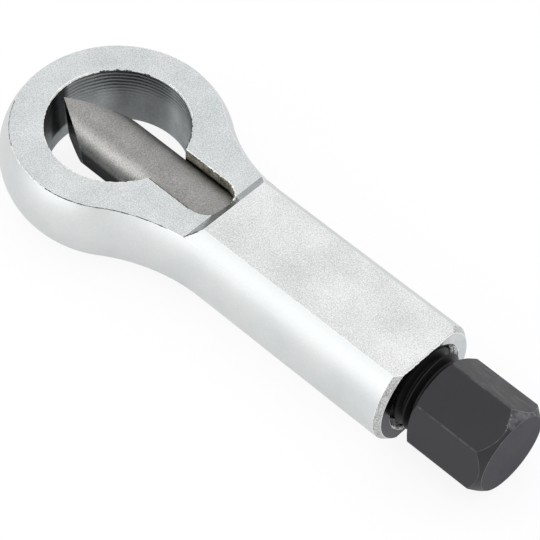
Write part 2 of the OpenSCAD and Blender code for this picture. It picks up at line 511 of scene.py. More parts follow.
# Broken edges: the plate is rubbed bright along them; the same bright metal also paints highlights along the
# opening's rim
BRIGHT_EDGE = MetalFinish(
    "rubbed_edge_and_highlight", light="#f6f7f7", dark="#dcdfdf", rough=(0.25, 0.35),
    patch_mm=1.5, grain_mm=0.4, depth_mm=0.01)
# Torn burr left by the slot cutter: bright, warm specks of bare steel
TORN_BURR = MetalFinish(
    "torn_steel_burr", light="#fffefa", dark="#e4e1da", rough=(0.3, 0.45),
    patch_mm=0.8, grain_mm=0.35, depth_mm=0.02)
# Dark lines along edges: hardly shiny
DARK_EDGE_LINE = MetalFinish(
    "dark_edge_line", light="#56575a", dark="#2d2e30", rough=(0.5, 0.65),
    patch_mm=0.8, grain_mm=0.35, depth_mm=0.01, metallic=0.4)
# Ground tool steel: matt grey with a fine sparkle, a painted highlight band and painted shade on its underside
GROUND_TOOL_STEEL = BandedFinish(
    "ground_tool_steel", light="#acaba9", dark="#838280", rough=(0.42, 0.54),
    patch_mm=5.0, grain_mm=0.26, depth_mm=0.016, speck=0.75, edge_tint="#808080")
# Fresh bevels of the cutter: smoother, with a painted dark reflection of the ring's dark wall and the table's
# shadow in their dark colour and edge tint
GROUND_BEVEL = MetalFinish(
    "ground_bevel_steel", light="#4a4a4b", dark="#3a3a3c", rough=(0.22, 0.32),
    patch_mm=3.0, grain_mm=0.36, depth_mm=0.006, edge_tint="#505050")
# Black oxide on the screw: a thin charcoal layer with a faint cool sheen
BLACK_OXIDE = MetalFinish(
    "black_oxide_steel", light="#2b2a2f", dark="#262529", rough=(0.42, 0.5),
    patch_mm=6.0, grain_mm=0.35, depth_mm=0.004, metallic=0.0, specular=OXIDE_SHEEN)
# Rubbed black oxide on the corners of the hexagon: thin lines of grey
WORN_EDGE = RubbedFinish(
    "rubbed_black_oxide_edge", light="#323135", dark="#28272b", rough=(0.4, 0.5),
    patch_mm=1.2, grain_mm=0.4, depth_mm=0.01, metallic=0.0, specular=OXIDE_SHEEN,
    bare="#555457", rub_mm=2.4, rub_from=0.42, rub_to=0.7)
# The one flat that the spanner has rubbed: long grey scuffs along it
WORN_FLAT = RubbedFinish(
    "spanner_rubbed_black_oxide", light="#2c2b2f", dark="#242327", rough=(0.42, 0.52),
    patch_mm=4.0, grain_mm=0.4, depth_mm=0.008, metallic=0.0, specular=OXIDE_SHEEN,
    bare="#515054", rub_mm=1.2, rub_from=0.45, rub_to=0.75, rub_stretch=(0.35, 1.0, 1.0))
# Knocked edges at the end of that flat: grey specks of bare steel
KNOCKED_CORNER = RubbedFinish(
    "knocked_black_oxide_corner", light="#4a494c", dark="#3c3b3f", rough=(0.38, 0.5),
    patch_mm=1.0, grain_mm=0.3, depth_mm=0.02, metallic=0.0, specular=OXIDE_SHEEN,
    bare="#a8a8aa", rub_mm=0.6, rub_from=0.46, rub_to=0.8)
# Crown between the knocked edges: polished by the spanner to a soft grey
RUBBED_CROWN = RubbedFinish(
    "polished_black_oxide_crown", light="#454449", dark="#38373c", rough=(0.42, 0.52),
    patch_mm=2.0, grain_mm=0.4, depth_mm=0.008, metallic=0.0, specular=OXIDE_SHEEN,
    bare="#747378", rub_mm=1.6, rub_from=0.4, rub_to=0.75)
# Faced end of the head: the same oxide over a finer cut, a little cooler and duller
FACED_OXIDE = MetalFinish(
    "black_oxide_faced_steel", light="#282630", dark="#24222b", rough=(0.42, 0.5),
    patch_mm=6.0, grain_mm=0.35, depth_mm=0.004, metallic=0.0, specular=0.18)
# Thread of the screw: the same oxide with painted shade, almost black as it lies in shade between the head and
# the handle
SHADED_THREAD_OXIDE = MetalFinish(
    "shaded_black_oxide_thread", light="#151517", dark="#0e0e10", rough=(0.38, 0.5),
    patch_mm=3.0, grain_mm=0.35, depth_mm=0.004, metallic=0.0, specular=0.22)
# Torn start of the tapped thread: pale ragged metal that scatters light like a matt surface
TORN_START = MetalFinish(
    "torn_thread_start", light="#f4f3ef", dark="#b4b3ae", rough=(0.45, 0.6),
    patch_mm=0.8, grain_mm=0.35, depth_mm=0.02, metallic=0.35)
# Freshly tapped thread in the hole: bright crests
TAPPED_THREAD = MetalFinish(
    "tapped_steel_thread", light="#f0f0ec", dark="#b4b3ae", rough=(0.26, 0.4),
    patch_mm=1.0, grain_mm=0.35, depth_mm=0.01)
# Hardened and polished ball steel: a clear mirror
BALL_STEEL = MetalFinish(
    "polished_ball_steel", light="#d4d5d7", dark="#c4c5c8", rough=(0.08, 0.14),
    patch_mm=3.0, grain_mm=0.5, depth_mm=0.001)
# Ground dowel pins: plain grey with a fine grain
DOWEL_STEEL = MetalFinish(
    "ground_dowel_steel", light="#bcbcbd", dark="#a2a2a3", rough=(0.3, 0.4),
    patch_mm=2.0, grain_mm=0.35, depth_mm=0.004)


class FinishShelf:
    """Makes each finish's material once and hands it out again."""

    def __init__(self) -> None:
        """Starts with no materials."""
        self.made: dict[str, bpy.types.Material] = {}

    def get(self, finish: MetalFinish) -> bpy.types.Material:
        """Gives a finish's material.

        Args:
            finish: Finish to look up.

        Returns:
            Its material.
        """
        if finish.name not in self.made:
            self.made[finish.name] = finish.build()
        return self.made[finish.name]


FINISHES = FinishShelf()


def put_piece(name: str, bm: bmesh.types.BMesh, finishes: Sequence[MetalFinish], body: Body) -> bpy.types.Object:
    """Turns a finished mesh into a piece that rides on a body.

    Args:
        name: Name of the piece.
        bm: Mesh to use; it is freed.
        finishes: Finishes in the order of the mesh's material numbers.
        body: Body that carries the piece.

    Returns:
        The new object.
    """
    mesh = bpy.data.meshes.new(name)
    bm.to_mesh(mesh)
    bm.free()
    piece = bpy.data.objects.new(name, mesh)
    bpy.context.scene.collection.objects.link(piece)
    for finish in finishes:
        mesh.materials.append(FINISHES.get(finish))
    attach(piece, body.value)
    return piece


def thickness(face: bmesh.types.BMFace) -> float:
    """Gives the height of a triangle over its longest side."""
    return 2 * face.calc_area() / max(edge.calc_length() for edge in face.edges)


def welded_copy(node: str) -> bmesh.types.BMesh:
    """Copies a solid's mesh, joins its faces along their shared edges and turns thin triangles.

    Args:
        node: Name of the solid.

    Returns:
        The joined mesh.
    """
    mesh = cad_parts[node].data.copy()
    stored = mesh.attributes.get("custom_normal")
    if stored is not None:
        mesh.attributes.remove(stored)
    bm = bmesh.new()
    bm.from_mesh(mesh)
    bpy.data.meshes.remove(mesh)
    bmesh.ops.remove_doubles(bm, verts=bm.verts, dist=WELD_MM * MM)
    for face in [f for f in bm.faces if thickness(f) < THIN_MM * MM]:
        if face.is_valid:
            bmesh.utils.edge_rotate(max(face.edges, key=lambda edge: edge.calc_length()))
    bmesh.ops.recalc_face_normals(bm, faces=bm.faces)
    bm.normal_update()
    return bm


def shade_by_angle(bm: bmesh.types.BMesh, degrees: float) -> None:
    """Shades a mesh smooth except across sharp edges, and marks those for a bevel.

    Args:
        bm: Mesh to shade.
        degrees: Sharpest angle that is still shaded smooth.
    """
    layers = bm.edges.layers.float
    weights = layers.get("bevel_weight_edge") or layers.new("bevel_weight_edge")
    for face in bm.faces:
        face.smooth = True
    for edge in bm.edges:
        thick = all(thickness(face) > THIN_MM * MM for face in edge.link_faces)
        sharp = thick and edge.calc_face_angle(0.0) > math.radians(degrees)
        edge.smooth = not sharp
        edge[weights] = 1.0 if sharp else 0.0


def soften(piece: bpy.types.Object, width_mm: float, edge_finish: int) -> None:
    """Breaks a piece's marked edges with a narrow rounded bevel.

    Args:
        piece: Piece to soften.
        width_mm: Width of the bevel.
        edge_finish: Number of the finish that the bevel gets.
    """
    bevel = piece.modifiers.new("broken_edges", "BEVEL")
    bevel.width = width_mm * MM
    bevel.segments = 2
    bevel.limit_method = "WEIGHT"
    bevel.material = edge_finish
    bevel.harden_normals = True


def close_up(bm: bmesh.types.BMesh) -> None:
    """Joins doubled points, drops collapsed faces and turns all faces outwards.

    Args:
        bm: Mesh to mend.
    """
    bmesh.ops.remove_doubles(bm, verts=bm.verts, dist=POINT_MM * MM)
    bmesh.ops.dissolve_degenerate(bm, edges=bm.edges, dist=SLIVER_MM * MM)
    bmesh.ops.recalc_face_normals(bm, faces=bm.faces)


def about_x(x: float, radius: float, angle: float) -> tuple[float, float, float]:
    """Gives a place in metres from its X and radius in millimetres and its angle about X."""
    return x * MM, radius * math.cos(angle) * MM, radius * math.sin(angle) * MM


def lofted(stations: Sequence[Station], angles: Sequence[float],
           finish_of: Callable[[int, float], int] = lambda band, angle: 0) -> bmesh.types.BMesh:
    """Joins stations round the X axis, whose place and radius may change with the angle.

    Args:
        stations: Functions from the angle to X and radius, in millimetres.
        angles: Angles of the steps round the axis, in radians.
        finish_of: Function from the number of a band and the middle angle to the finish's number.

    Returns:
        The joined mesh.
    """
    bm = bmesh.new()
    rings = []
    for station in stations:
        ring = []
        for angle in angles:
            x, radius = station(angle)
            ring.append(bm.verts.new(about_x(x, radius, angle)))
        rings.append(ring)
    count = len(angles)
    for number, (low, high) in enumerate(zip(rings, rings[1:])):
        for k in range(count):
            n = (k + 1) % count
            face = bm.faces.new((low[k], low[n], high[n], high[k]))
            middle = (angles[k] + (angles[n] if n else angles[0] + 2 * math.pi)) / 2
            face.material_index = finish_of(number, middle)
    close_up(bm)
    return bm


def spread(first: float, last: float, steps: int) -> list[float]:
    """Gives evenly spaced angles in radians from one angle in degrees to another."""
    return [math.radians(first + (last - first) * k / steps) for k in range(steps + 1)]


def even_angles(steps: int) -> list[float]:
    """Gives evenly spaced angles of a whole turn."""
    return [2 * math.pi * k / steps for k in range(steps)]


def tube(points: Sequence[Vector], radii: Sequence[float], upright: Vector,
         sides: int = 5) -> bmesh.types.BMesh:
    """Sweeps a small round section of changing size along a path.

    Args:
        points: Path in millimetres.
        radii: Radius at each point, in millimetres.
        upright: Direction that the path never runs in.
        sides: Number of sides of the section.

    Returns:
        The swept mesh.
    """
    bm = bmesh.new()
    rings = []
    for k, point in enumerate(points):
        ahead = (points[min(k + 1, len(points) - 1)] - points[max(k - 1, 0)]).normalized()
        across = ahead.cross(upright).normalized()
        above = across.cross(ahead)
        ring = []
        for turn in even_angles(sides):
            place = point + (across * math.cos(turn) + above * math.sin(turn)) * radii[k]
            ring.append(bm.verts.new(place * MM))
        rings.append(ring)
    for low, high in zip(rings, rings[1:]):
        for s in range(sides):
            n = (s + 1) % sides
            bm.faces.new((low[s], low[n], high[n], high[s]))
    bm.faces.new(rings[0])
    bm.faces.new(rings[-1])
    bmesh.ops.recalc_face_normals(bm, faces=bm.faces)
    for face in bm.faces:
        face.smooth = True
    return bm


@dataclass
class EdgeLine:
    """Uneven line along an edge of the frame: torn metal, rubbed plate, a dark line or a painted highlight.

    The line is thick where its noise is high and almost vanishes where it is low. Thick is its largest
    radius in millimetres, level the noise at which it vanishes, and seed moves the noise.
    """

    name: str
    path: Sequence[Vector]
    finish: MetalFinish
    thick: float
    level: float
    seed: float
    upright: tuple[float, float, float] = (0.0, 0.0, 1.0)

    def build(self) -> bpy.types.Object:
        """Builds the line.

        Returns:
            The line.
        """
        shift = Vector((self.seed, -self.seed, self.seed / 2))
        radii, points = [], []
        for point in self.path:
            slow = noise.noise(point * SLOW_WAVES + shift) * SLOW_SHARE
            rough = slow + noise.noise(point * QUICK_WAVES - shift) * QUICK_SHARE
            radii.append(max(THINNEST_MM, self.thick * min(1.0, rough - self.level)))
            spot = point * SWAY_WAVES
            sway = Vector((noise.noise(spot + shift), noise.noise(spot - shift), 0))
            points.append(point + sway * self.thick * SWAY_SHARE)
        bm = tube(points, radii, Vector(self.upright))
        return put_piece(self.name, bm, (self.finish,), Body.FRAME)


@dataclass
class Helix:
    """Screw thread as a sheet that winds about the X axis.

    The profile gives one pitch as pairs of axial place and radius, in millimetres.
    """

    pitch: float
    start: float
    end: float
    profile: Sequence[tuple[float, float]]
    steps: int = ROUND_STEPS

    def build(self, trim: Callable[[float, float], tuple[float, float]]) -> bmesh.types.BMesh:
        """Winds the profile into a mesh.

        Args:
            trim: Function that moves a point of X and radius to the thread's trimmed shape.

        Returns:
            The wound mesh.
        """
        bm = bmesh.new()
        turns = int(math.ceil((self.end - self.start) / self.pitch)) + 2
        rows = []
        for turn in range(-1, turns):
            for offset, radius in self.profile:
                row = []
                for k in range(self.steps + 1):
                    angle = 2 * math.pi * k / self.steps
                    x, r = trim(self.start + (turn + k / self.steps) * self.pitch + offset, radius)
                    row.append(bm.verts.new(about_x(x, r, angle)))
                rows.append(row)
        for low, high in zip(rows, rows[1:]):
            for k in range(self.steps):
                bm.faces.new((low[k], low[k + 1], high[k + 1], high[k]))
        close_up(bm)
        return bm


@dataclass(frozen=True)
class ThreadForm:
    """Coarse metric thread of the screw, and the nut thread that it runs in."""

    pitch: float = 2.0
    crest_r: float = 8.0
    root_r: float = 6.773
    crest_flat: float = 0.25
    nut_crest_r: float = 7.0
    nut_root_r: float = 8.2
    flank_gap: float = 0.08
    flank_deg: float = 30.0
    start_x: float = 40.0

    def half_at(self, radius: float) -> float:
        """Gives half the width of the screw's groove at a radius."""
        slope = math.tan(math.radians(self.flank_deg))
        return (self.pitch - self.crest_flat) / 2 - (self.crest_r - radius) * slope

    def screw(self, end: float) -> Helix:
        """Gives the screw's thread.

        Args:
            end: X of its end.

        Returns:
            The winding.
        """
        root, crest = self.half_at(self.root_r), self.half_at(self.crest_r)
        profile = ((-root, self.root_r), (root, self.root_r), (crest, self.crest_r),
                   (self.pitch - crest, self.crest_r))
        return Helix(self.pitch, self.start_x, end, profile)

    def nut(self, end: float) -> Helix:
        """Gives the thread of the hole, whose ridges run in the screw's grooves.

        Args:
            end: X of its end.

        Returns:
            The winding.
        """
        crest = self.half_at(self.nut_crest_r) - self.flank_gap
        root = self.half_at(self.nut_root_r) - self.flank_gap
        profile = ((-root, self.nut_root_r), (-crest, self.nut_crest_r), (crest, self.nut_crest_r),
                   (root, self.nut_root_r))
        return Helix(self.pitch, self.start_x, end, profile)


@dataclass
class ForgedFrame:
    """Ring, neck and handle in one forging, with its cut and plated surfaces."""

    opening_r: float = 14.0
    face_z: float = 7.0
    flat_z: float = 9.5
    handle_r: float = 12.4
    ring_face_r: float = 20.43
    neck_x: float = 32.4
    neck_y: float = 46.37
    neck_edge_r: float = 36.17
    slot_half: float = 4.85
    slot_start: float = 13.3
    slot_end: float = 28.7
    step_x: float = 27.7
    step_slope: float = 43.0
    bore_r: float = 6.3
    hole_r: float = 8.05
    hole_x: float = 38.5
    mouth_r: float = 9.2
    handle_end: float = 78.0
    chamfer_l: float = 1.2
    chamfer_r: float = 11.5
    edge_mm: float = 0.18
    burr_out: float = 0.12
    burr_step: float = 0.12
    thread_gap: float = 0.02
    rim_out: float = 0.3
    opening_steps: int = 300
    mouth_steps: int = 60

    def mouth_x(self) -> float:
        """Gives the X of the countersink's bottom, where the thread starts."""
        return self.handle_end - (self.mouth_r - self.hole_r)

    def zone_of(self, centre: Vector, normal: Vector) -> Zone:
        """Tells which cut or forged surface a face belongs to.

        The first rule that fits holds. Margins in millimetres take in the unevenness of the facets, and
        limits on the normal tell slopes from flats.

        Args:
            centre: Middle of the face.
            normal: Direction that the face looks in.

        Returns:
            The surface's zone.
        """
        x, y, z = (v / MM for v in centre)
        across = math.hypot(y, z)
        upright = abs(normal.z) < 0.1
        if x > self.handle_end - 0.05 and normal.x > 0.99:
            return Zone.END_FACE
        if x > self.mouth_x() and normal.x > 0.5 and across < self.mouth_r:
            return Zone.END_FACE
        if x > self.handle_end - self.chamfer_l and normal.x > 0.2 and across > self.chamfer_r - 0.1:
            return Zone.END_CHAMFER
        if x > self.hole_x - 0.2 and across < self.mouth_r + 0.02:
            return Zone.BORED
        if upright and abs(math.hypot(x, y) - self.opening_r) < 0.3 and abs(z) <= self.face_z:
            return Zone.TURNED
        if upright and self.opening_r - 2 < x < self.slot_end + 0.3 and abs(y) < self.slot_half + 0.2:
            return Zone.SAWN
        if across < self.bore_r + 0.1 and x > 0:
            return Zone.BORED
        if abs(normal.z) > 0.99:
            return Zone.RING_FACE if x < self.slot_end else Zone.HANDLE_FLAT
        if abs(normal.y) < 0.01 and 0.3 < abs(normal.z) < 0.97 and self.opening_r < x < self.hole_x:
            return Zone.RAMP
        return Zone.FORGED

    def slot_side(self, side: float) -> list[Vector]:
        """Gives the straight upper edge of one side of the slot.

        Args:
            side: 1 for the far side and -1 for the near one.

        Returns:
            Points in millimetres.
        """
        count = int((self.slot_end - self.slot_half - self.slot_start) / self.burr_step)
        away = side * (self.slot_half + self.burr_out)
        return [Vector((self.slot_start + self.burr_step * k, away, self.face_z)) for k in range(count)]

    def slot_bend(self) -> list[Vector]:
        """Gives the upper edge of the slot's round end, on its far half.

        Returns:
            Points in millimetres.
        """
        points = []
        steps, step_deg = 50, 1.7
        away = self.slot_half + self.burr_out
        for k in range(steps):
            angle = math.radians(90 - step_deg * k)
            x = self.slot_end - self.slot_half + away * math.cos(angle)
            rise = max(0.0, x - self.step_x) * math.tan(math.radians(self.step_slope))
            points.append(Vector((x, away * math.sin(angle), self.face_z + rise)))
        return points

    def opening_edge(self, first: float, last: float, out: float = 0.0) -> list[Vector]:
        """Gives a stretch of the opening's upper edge.

        Args:
            first: Angle of its start about Z, in degrees.
            last: Angle of its end, in degrees.
            out: Distance from the edge onto the ring's face.

        Returns:
            Points in millimetres.
        """
        radius = self.opening_r + out
        return [Vector((radius * math.cos(t), radius * math.sin(t), self.face_z))
                for t in spread(first, last, self.opening_steps)]

    def outer_edge(self) -> list[Vector]:
        """Gives the upper outer edge on the near side of the ring and the neck.

        Returns:
            Points in millimetres.
        """
        toward = math.degrees(math.atan2(-self.neck_y, self.neck_x))
        ring_from, ring_steps = -175, 260
        neck_deg, neck_steps = 27, 130
        ring = spread(ring_from, toward, ring_steps)[:-1]
        neck = [math.radians(toward + 180 - neck_deg * k / neck_steps) for k in range(neck_steps + 1)]
        points = [Vector((math.cos(t), math.sin(t), 0)) * self.ring_face_r for t in ring]
        hollow = Vector((self.neck_x, -self.neck_y, 0))
        points += [hollow + Vector((math.cos(t), math.sin(t), 0)) * self.neck_edge_r for t in neck]
        return [point + Vector((0, 0, self.face_z)) for point in points]

    def ramp_edge(self) -> list[Vector]:
        """Gives the near edge of the upper step, where it meets the round side, short of its top.

        Returns:
            Points in millimetres.
        """
        points = []
        steps, used = 40, 33
        for k in range(used):
            z = self.face_z + (self.flat_z - self.face_z) * k / steps
            x = self.step_x + (z - self.face_z) / math.tan(math.radians(self.step_slope))
            points.append(Vector((x, -math.sqrt(self.handle_r ** 2 - z * z), z)))
        return points

    def flat_end(self) -> list[Vector]:
        """Gives the edge between the upper flat and the end of the handle.

        Returns:
            Points in millimetres.
        """
        half = math.sqrt(self.chamfer_r ** 2 - self.flat_z ** 2)
        steps, inset = 40, 0.1
        return [Vector((self.handle_end - inset, half * k / steps, self.flat_z))
                for k in range(-steps, steps + 1)]

    def mouth_arc(self, first: float, last: float, depth: float) -> list[Vector]:
        """Gives an arc on the countersunk mouth of the hole.

        Args:
            first: Angle of its start about X, in degrees from Y towards Z.
            last: Angle of its end, in degrees.
            depth: Depth under the end of the handle.

        Returns:
            Points in millimetres.
        """
        radius = self.mouth_r - depth
        return [Vector((self.handle_end - depth, radius * math.cos(t), radius * math.sin(t)))
                for t in spread(first, last, self.mouth_steps)]

    def build(self) -> bpy.types.Object:
        """Builds the dressed forging over its solid.

        Returns:
            The forging.
        """
        bm = welded_copy("frame")
        for face in bm.faces:
            face.material_index = self.zone_of(face.calc_center_median(), face.normal).value
        shade_by_angle(bm, SOLID_SMOOTH)
        finishes = (SATIN_CHROME_FORGED, SATIN_CHROME_BLASTED, SATIN_CHROME_FLAT, MILLED_STEP,
                    TURNED_OPENING, SAWN_SLOT, BORED_STEEL, FACED_END, FILED_CHAMFER, BRIGHT_EDGE)
        piece = put_piece("forged_frame", bm, finishes, Body.FRAME)
        soften(piece, self.edge_mm, Zone.EDGE.value)
        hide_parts("frame")
        return piece

    def build_edges(self) -> list[bpy.types.Object]:
        """Builds the burrs, the dark lines, the rubbed edges and the painted highlights along the edges.

        Returns:
            The lines.
        """
        along_x = (1.0, 0.0, 0.0)
        far_side = self.slot_side(1)
        outer = self.outer_edge()
        arc, mouth, rim = self.opening_edge, self.mouth_arc, self.rim_out
        # Slices pick the points of a stretch, angles are in degrees and depths in millimetres
        lines = (
            EdgeLine("slot_rim", far_side[:70], BRIGHT_EDGE, thick=0.2, level=-0.85, seed=10.2),
            EdgeLine("slot_burr", far_side[60:] + self.slot_bend(), TORN_BURR,
                     thick=0.46, level=-0.32, seed=3.1),
            EdgeLine("slot_dark_line", self.slot_side(-1), DARK_EDGE_LINE, thick=0.08, level=-0.9, seed=6.3),
            EdgeLine("opening_burr", arc(150, 330), TORN_BURR, thick=0.16, level=-0.45, seed=7.7),
            EdgeLine("opening_dark_line_far", arc(106, 156), DARK_EDGE_LINE, thick=0.34, level=-0.15, seed=11.3),
            EdgeLine("opening_dark_line_slot", arc(21, 54), DARK_EDGE_LINE, thick=0.34, level=-0.15, seed=14.8),
            # Painted highlights along the opening's rim, a little out on the ring's face
            EdgeLine("opening_highlight_right", arc(54, 92, rim), BRIGHT_EDGE,
                     thick=0.25, level=-1.5, seed=12.6),
            EdgeLine("opening_highlight_left", arc(158, 200, rim), BRIGHT_EDGE,
                     thick=0.25, level=-1.5, seed=13.9),
            EdgeLine("outer_edge_dark_line", outer[185:365], DARK_EDGE_LINE, thick=0.11, level=-0.75, seed=5.2),
            EdgeLine("outer_edge_dark_line_left", outer[50:125], DARK_EDGE_LINE, thick=0.1, level=-0.5, seed=15.6),
            EdgeLine("outer_edge_rub", outer[120:195], BRIGHT_EDGE, thick=0.2, level=-0.8, seed=16.4),
            EdgeLine("ramp_dark_line", self.ramp_edge(), DARK_EDGE_LINE, thick=0.2, level=-0.5, seed=9.4),
            EdgeLine("flat_end_rub", self.flat_end(), BRIGHT_EDGE, thick=0.22, level=-0.8, seed=2.2),
            EdgeLine("thread_start_outer", mouth(-26, 12, 0.1), TORN_START,
                     thick=0.2, level=-0.6, seed=4.4, upright=along_x),
            EdgeLine("thread_start_middle", mouth(-22, 22, 0.5), TORN_START,
                     thick=0.2, level=-0.6, seed=8.1, upright=along_x),
            EdgeLine("thread_start_inner", mouth(-16, 30, 0.85), TORN_START,
                     thick=0.16, level=-0.6, seed=1.7, upright=along_x),
            EdgeLine("thread_start_burr", mouth(207, 243, 0.12), TORN_START,
                     thick=0.56, level=-0.6, seed=5.9, upright=along_x))
        return [line.build() for line in lines]

    def build_thread(self, helix: Helix) -> bpy.types.Object:
        """Builds the tapped thread that the screw runs in.

        Args:
            helix: Winding of the thread.

        Returns:
            The thread.
        """
        mouth_x = self.mouth_x()

        def trim(x: float, radius: float) -> tuple[float, float]:
            """Ends the thread at the countersunk mouth."""
            kept = min(max(x, helix.start), mouth_x)
            return kept, max(radius, self.hole_r + self.thread_gap + kept - mouth_x)

        bm = helix.build(trim)
        shade_by_angle(bm, THREAD_SMOOTH)
        return put_piece("tapped_thread", bm, (TAPPED_THREAD,), Body.FRAME)


@dataclass
class ChiselCutter:
    """Round cutter with its ground wedge."""

    wedge_end: float = 1.5
    bevel_from: float = -0.3
    edge_mm: float = 0.08

    def build(self) -> bpy.types.Object:
        """Builds the dressed cutter over its solid.

        Returns:
            The cutter.
        """
        bm = welded_copy("cutter")
        for face in bm.faces:
            ahead = face.calc_center_median().x < self.wedge_end * MM
            zone = CutterZone.BEVEL if ahead and face.normal.x < self.bevel_from else CutterZone.ROUND
            face.material_index = zone.value
        shade_by_angle(bm, SOLID_SMOOTH)
        finishes = (GROUND_TOOL_STEEL, GROUND_BEVEL, BRIGHT_EDGE)
        piece = put_piece("chisel_cutter", bm, finishes, Body.CUTTER)
        soften(piece, self.edge_mm, CutterZone.EDGE.value)
        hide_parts("cutter")
        return piece


@dataclass
class ForcingScrew:
    """Hexagon-headed screw with a cut thread and a grooved spigot."""

    head_x: float = 81.7
    head_h: float = 16.8
    hex_af: float = 17.0
    hex_turn: float = 22.0
    corner_round: float = 0.35
    under_chamfer: float = 1.2
    under_slope: float = 30.0
    crown_chamfer: float = 1.7
    crown_slope: float = 52.0
    wear_mm: float = 0.16
    scuff_mm: float = 0.4
    worn_flat: int = 0
    shoulder_x: float = 39.4
    spigot_x: float = 29.9
    spigot_r: float = 3.2
    groove_r: float = 2.2
    groove_front: float = 32.6
    groove_back: float = 35.2
    crest_r: float = 8.0
    nose_chamfer: float = 1.0
    thread_overlap: float = 0.2

    def from_corner(self, angle: float) -> float:
        """Gives the angle to the nearest corner of the hexagon, in radians."""
        sixth = math.pi / 3
        return (angle - math.radians(self.hex_turn) + sixth / 2) % sixth - sixth / 2

    def round_centre(self) -> float:
        """Gives the distance from the axis to the middle of a corner's rounding."""
        return (self.hex_af / 2 - self.corner_round) / math.cos(math.pi / 6)

    def corner_reach(self) -> float:
        """Gives the angle on each side of a corner that its rounding takes up, in radians."""
        far = self.round_centre() + self.corner_round * math.cos(math.pi / 6)
        return math.atan(self.corner_round / 2 / far)

    def hex_radius(self, angle: float) -> float:
        """Gives the radius of the hexagon with its rounded corners.

        Args:
            angle: Angle in radians, from Y towards Z.

        Returns:
            The radius in millimetres.
        """
        off = self.from_corner(angle)
        if abs(off) < self.corner_reach():
            middle = self.round_centre()
            aside = middle * math.sin(off)
            return middle * math.cos(off) + math.sqrt(self.corner_round ** 2 - aside ** 2)
        return self.hex_af / 2 / math.cos(math.pi / 6 - abs(off))

    def head_angles(self) -> list[float]:
        """Gives the angles of the head's steps, which are close together at the corners.

        Returns:
            Angles in radians, in rising order.
        """
        reach = self.corner_reach()
        flat = math.pi / 3 - 2 * reach
        corner_steps, flat_steps = 6, 18
        angles = []
        for k in range(6):
            corner = math.radians(self.hex_turn) + k * math.pi / 3
            angles += [corner - reach + 2 * reach * s / corner_steps for s in range(corner_steps)]
            angles += [corner + reach + flat * s / flat_steps for s in range(flat_steps)]
        return angles

    def head_stations(self) -> list[Station]:
        """Gives the outlines between the bands of the head, from its underside to its end face.

        Returns:
            Functions from the angle to X and radius.
        """
        end = self.head_x + self.head_h
        corner = self.hex_af / 2 / math.cos(math.pi / 6)
        under_r, crown_r = corner - self.under_chamfer, corner - self.crown_chamfer
        under_rise = math.tan(math.radians(self.under_slope))
        crown_rise = math.tan(math.radians(self.crown_slope))

        def under(on: float) -> Station:
            """Gives the edge between a flat and the lower chamfer, moved on along the flat."""
            return lambda a: (self.head_x + max(0.0, self.hex_radius(a) - under_r) * under_rise + on,
                              self.hex_radius(a))

        def crown(back: float) -> Station:
            """Gives the edge between a flat and the crown, moved back along the flat."""
            return lambda a: (end - max(0.0, self.hex_radius(a) - crown_r) * crown_rise - back,
                              self.hex_radius(a))

        return [lambda a: (self.head_x, 0.0), lambda a: (self.head_x, min(self.hex_radius(a), under_r)),
                under(0.0), under(self.wear_mm), crown(self.scuff_mm), crown(self.wear_mm), crown(0.0),
                lambda a: (end, crown_r), lambda a: (end, crown_r - self.wear_mm), lambda a: (end, 0.0)]

    def wear_at(self, band: HeadBand, angle: float) -> HeadWear:
        """Tells how worn the black oxide is.

        Args:
            band: Band of the head.
            angle: Angle in radians, from Y towards Z.

        Returns:
            The state of the oxide.
        """
        sixths = (angle - math.radians(self.hex_turn)) / (math.pi / 3)
        middle, half = KNOCKED_PARTS.get(band, (0.0, 0.0))
        on_flats = band in (HeadBand.FLATS, HeadBand.SCUFF)
        if band is HeadBand.END_FACE:
            return HeadWear.FACED
        if abs(sixths - self.worn_flat - middle) < half:
            return HeadWear.CROWN if band is HeadBand.CROWN else HeadWear.KNOCKED
        if band in (HeadBand.CROWN_EDGE, HeadBand.END_EDGE):
            return HeadWear.EDGE
        if on_flats and abs(self.from_corner(angle)) < self.corner_reach():
            return HeadWear.EDGE
        if on_flats and math.floor(sixths) % 6 == self.worn_flat:
            return HeadWear.SPANNER
        return HeadWear.SOUND

    def build_head(self) -> bpy.types.Object:
        """Builds the hexagon head.

        Returns:
            The head.
        """
        bm = lofted(self.head_stations(), self.head_angles(),
                    lambda band, angle: self.wear_at(HeadBand(band), angle).value)
        shade_by_angle(bm, HEAD_SMOOTH)
        finishes = (BLACK_OXIDE, WORN_EDGE, WORN_FLAT, KNOCKED_CORNER, FACED_OXIDE, RUBBED_CROWN)
        return put_piece("hexagon_head", bm, finishes, Body.SCREW)

    def build_shank(self, helix: Helix) -> bpy.types.Object:
        """Builds the threaded shank with its spigot.

        Args:
            helix: Winding of the thread.

        Returns:
            The shank.
        """
        def trim(x: float, radius: float) -> tuple[float, float]:
            """Ends the thread at the shoulder and at the head, with a chamfered nose.

            Args:
                x: Place along the screw.
                radius: Radius there.

            Returns:
                The trimmed place and radius.
            """
            if x < self.shoulder_x:
                return self.shoulder_x, self.spigot_r
            nose = self.crest_r - self.nose_chamfer + (x - self.shoulder_x)
            return min(x, self.head_x + self.thread_overlap), min(radius, nose)

